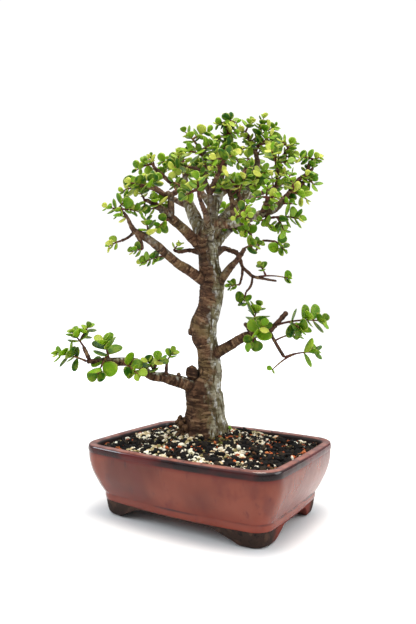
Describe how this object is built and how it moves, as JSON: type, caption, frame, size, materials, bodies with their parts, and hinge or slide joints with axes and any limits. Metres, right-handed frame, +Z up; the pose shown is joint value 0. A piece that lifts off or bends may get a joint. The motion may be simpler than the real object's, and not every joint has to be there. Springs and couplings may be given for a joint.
{
  "type": "dwarf jade bonsai",
  "caption": "Small succulent bonsai tree with a leaning trunk, knotted limbs and rounded fleshy leaves, in a glazed rectangular footed pot filled with grit.",
  "frame": {"origin": "on the floor under the middle of the bounding box", "axes": "+Z up, X along the pot's long side, -Y towards the pot's front long side"},
  "size_m": [0.2872, 0.2916, 0.501],
  "materials": {
    "glaze": "glossy red-brown glaze with darker runs, bare dark clay under the feet",
    "soil_grit": "rough mixed grit: pale pumice, black lava, orange clay chips and dark mould",
    "bark": "rough brown bark, paler and grey-green on one side, ringed by old leaf scars",
    "leaf_green": "smooth fleshy leaves with a soft sheen, mid to pale green"
  },
  "bodies": {
    "root": {"pot": "glaze", "soil": "soil_grit", "trunk": "bark", "shoot_farLeftTip": "leaf_green", "shoot_lowLeftRise": "leaf_green", "shoot_lowLeftTuft": "leaf_green", "shoot_lowLeftHang": "leaf_green", "shoot_lowLeftMid": "leaf_green", "shoot_lowLeftPostTop": "leaf_green", "shoot_lowRightReach": "leaf_green", "shoot_lowRightTuft": "leaf_green", "shoot_lowRightFront": "leaf_green", "shoot_lowRightDropTip": "leaf_green", "shoot_lowRightDropMid": "leaf_green", "shoot_loopFootTip": "leaf_green", "shoot_loopDropTip": "leaf_green", "shoot_loopTip": "leaf_green", "shoot_hangingTip": "leaf_green", "shoot_cutLimbTip": "leaf_green", "shoot_innerRightTip": "leaf_green", "shoot_arcStubTip": "leaf_green", "shoot_arcTip": "leaf_green", "shoot_farRightTip": "leaf_green", "shoot_farRightTop": "leaf_green", "shoot_rightRiserTip": "leaf_green", "shoot_rightRiserMid": "leaf_green", "shoot_topRightTip": "leaf_green", "shoot_topRightReach": "leaf_green", "shoot_topRightFill": "leaf_green", "shoot_topTip": "leaf_green", "shoot_topMid": "leaf_green", "shoot_topFill": "leaf_green", "shoot_leaderTip": "leaf_green", "shoot_centreTip": "leaf_green", "shoot_centreMid": "leaf_green", "shoot_leftHighTips": "leaf_green", "shoot_leftSkyTip": "leaf_green", "shoot_leftReachTip": "leaf_green", "shoot_leftForkTip": "leaf_green", "shoot_leftForkMid": "leaf_green", "shoot_leftRiserTip": "leaf_green", "shoot_longLeftTip": "leaf_green", "shoot_longLeftFill": "leaf_green", "shoot_leftCrotch": "leaf_green", "shoot_longLeftLow": "leaf_green", "shoot_longLeftDrop": "leaf_green", "shoot_longLeftUnder": "leaf_green", "shoot_lowForkTip": "leaf_green", "shoot_frontTip": "leaf_green", "shoot_frontRightTip": "leaf_green", "shoot_frontHighTip": "leaf_green", "shoot_innerTip": "leaf_green", "shoot_rightFrontTip": "leaf_green", "shoot_rightInnerFill": "leaf_green", "shoot_backLeftTip": "leaf_green", "shoot_backRightTip": "leaf_green", "shoot_backFarLeftTip": "leaf_green", "shoot_backFarRightTip": "leaf_green", "shoot_backLowTip": "leaf_green", "shoot_rearLeftTip": "leaf_green"}
  },
  "joints": []
}
